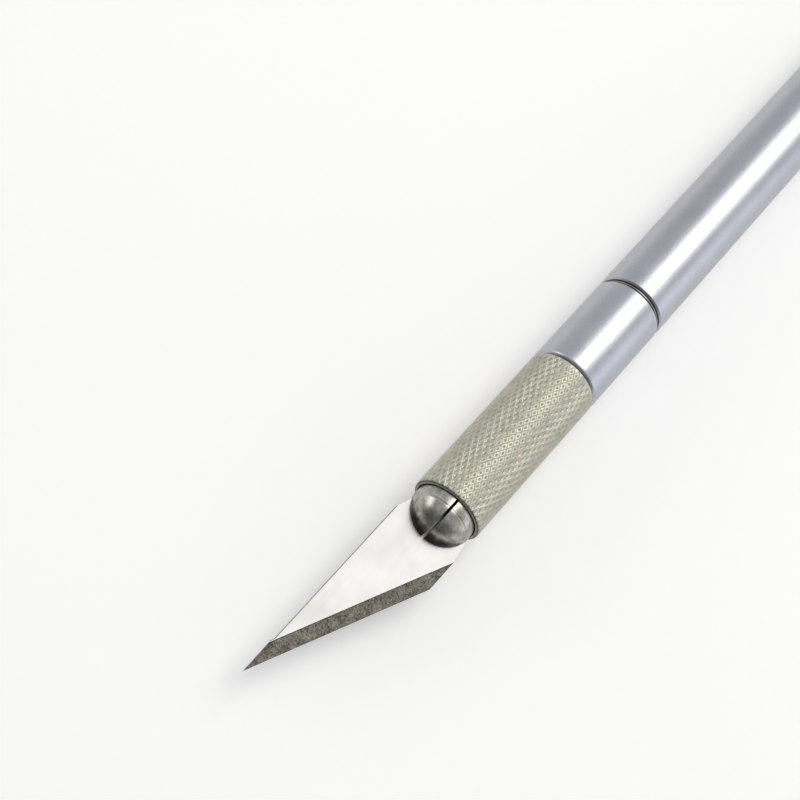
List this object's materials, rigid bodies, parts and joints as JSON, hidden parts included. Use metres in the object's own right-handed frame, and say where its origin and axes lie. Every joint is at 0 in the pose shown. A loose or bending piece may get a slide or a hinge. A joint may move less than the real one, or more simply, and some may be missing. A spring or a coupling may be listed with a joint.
{
  "type": "craft knife",
  "caption": "Round-handled hobby craft knife: turning the knurled sleeve opens a slotted domed collet that grips a flat, pointed, replaceable blade.",
  "frame": {"origin": "on the handle's axis, at the middle of the plain barrel's outer cylinder", "axes": "+X along the handle towards the blade's point, +Z square to the flat blade, cutting edge on the +Y side"},
  "size_m": [0.1462, 0.0097, 0.0096],
  "materials": {
    "satin_aluminium": "fine satin, clear anodised, faint blue-lilac cast",
    "knurl_metal": "fine diamond knurl, dull olive-grey plating",
    "collet_steel": "dark polished steel, lightly mottled",
    "spacer_steel": "plain turned steel",
    "inner_steel": "plain machined steel, lightly oiled",
    "blade_steel": "bright rolled strip with finely ground bevels"
  },
  "bodies": {
    "handle": {"barrel": "satin_aluminium", "end_plug": "satin_aluminium", "seam_ring": "spacer_steel", "front_ferrule": "satin_aluminium", "key_pin": "inner_steel", "retaining_ring": "inner_steel"},
    "sleeve": {"knurled_sleeve": "knurl_metal"},
    "collet": {"collet_shank": "inner_steel"},
    "jaw_1": {"collet_jaw_1": "collet_steel"},
    "jaw_2": {"collet_jaw_2": "collet_steel"},
    "jaw_3": {"collet_jaw_3": "collet_steel"},
    "jaw_4": {"collet_jaw_4": "collet_steel"},
    "blade": {"blade": "blade_steel"}
  },
  "joints": [
    {"name": "sleeve_turn", "type": "hinge", "parent": "handle", "child": "sleeve", "pos_m": [0.0753, 0, 0], "axis": [1, 0, 0], "range_deg": [0, 360]},
    {"name": "collet_draw", "type": "slide", "parent": "handle", "child": "collet", "axis": [1, 0, 0], "range_m": [0, 0.00080008]},
    {"name": "jaw_1_spring", "type": "hinge", "parent": "collet", "child": "jaw_1", "pos_m": [0.0613, 0.00156, 0.00156], "axis": [0, -0.7071, 0.7071], "range_deg": [0, 0.60006]},
    {"name": "jaw_2_spring", "type": "hinge", "parent": "collet", "child": "jaw_2", "pos_m": [0.0613, -0.00156, 0.00156], "axis": [0, -0.7071, -0.7071], "range_deg": [0, 0.60006]},
    {"name": "jaw_3_spring", "type": "hinge", "parent": "collet", "child": "jaw_3", "pos_m": [0.0613, -0.00156, -0.00156], "axis": [0, 0.7071, -0.7071], "range_deg": [0, 0.60006]},
    {"name": "jaw_4_spring", "type": "hinge", "parent": "collet", "child": "jaw_4", "pos_m": [0.0613, 0.00156, -0.00156], "axis": [0, 0.7071, 0.7071], "range_deg": [0, 0.60006]},
    {"name": "blade_draw", "type": "slide", "parent": "collet", "child": "blade", "axis": [1, 0, 0], "range_m": [0, 0.018]}
  ],
  "couplings": [
    {"joint": "collet_draw", "follows": "sleeve_turn", "m_per_rad": 0.00012732},
    {"joint": "jaw_1_spring", "follows": "sleeve_turn", "ratio": 0.0016667},
    {"joint": "jaw_2_spring", "follows": "sleeve_turn", "ratio": 0.0016667},
    {"joint": "jaw_3_spring", "follows": "sleeve_turn", "ratio": 0.0016667},
    {"joint": "jaw_4_spring", "follows": "sleeve_turn", "ratio": 0.0016667}
  ]
}
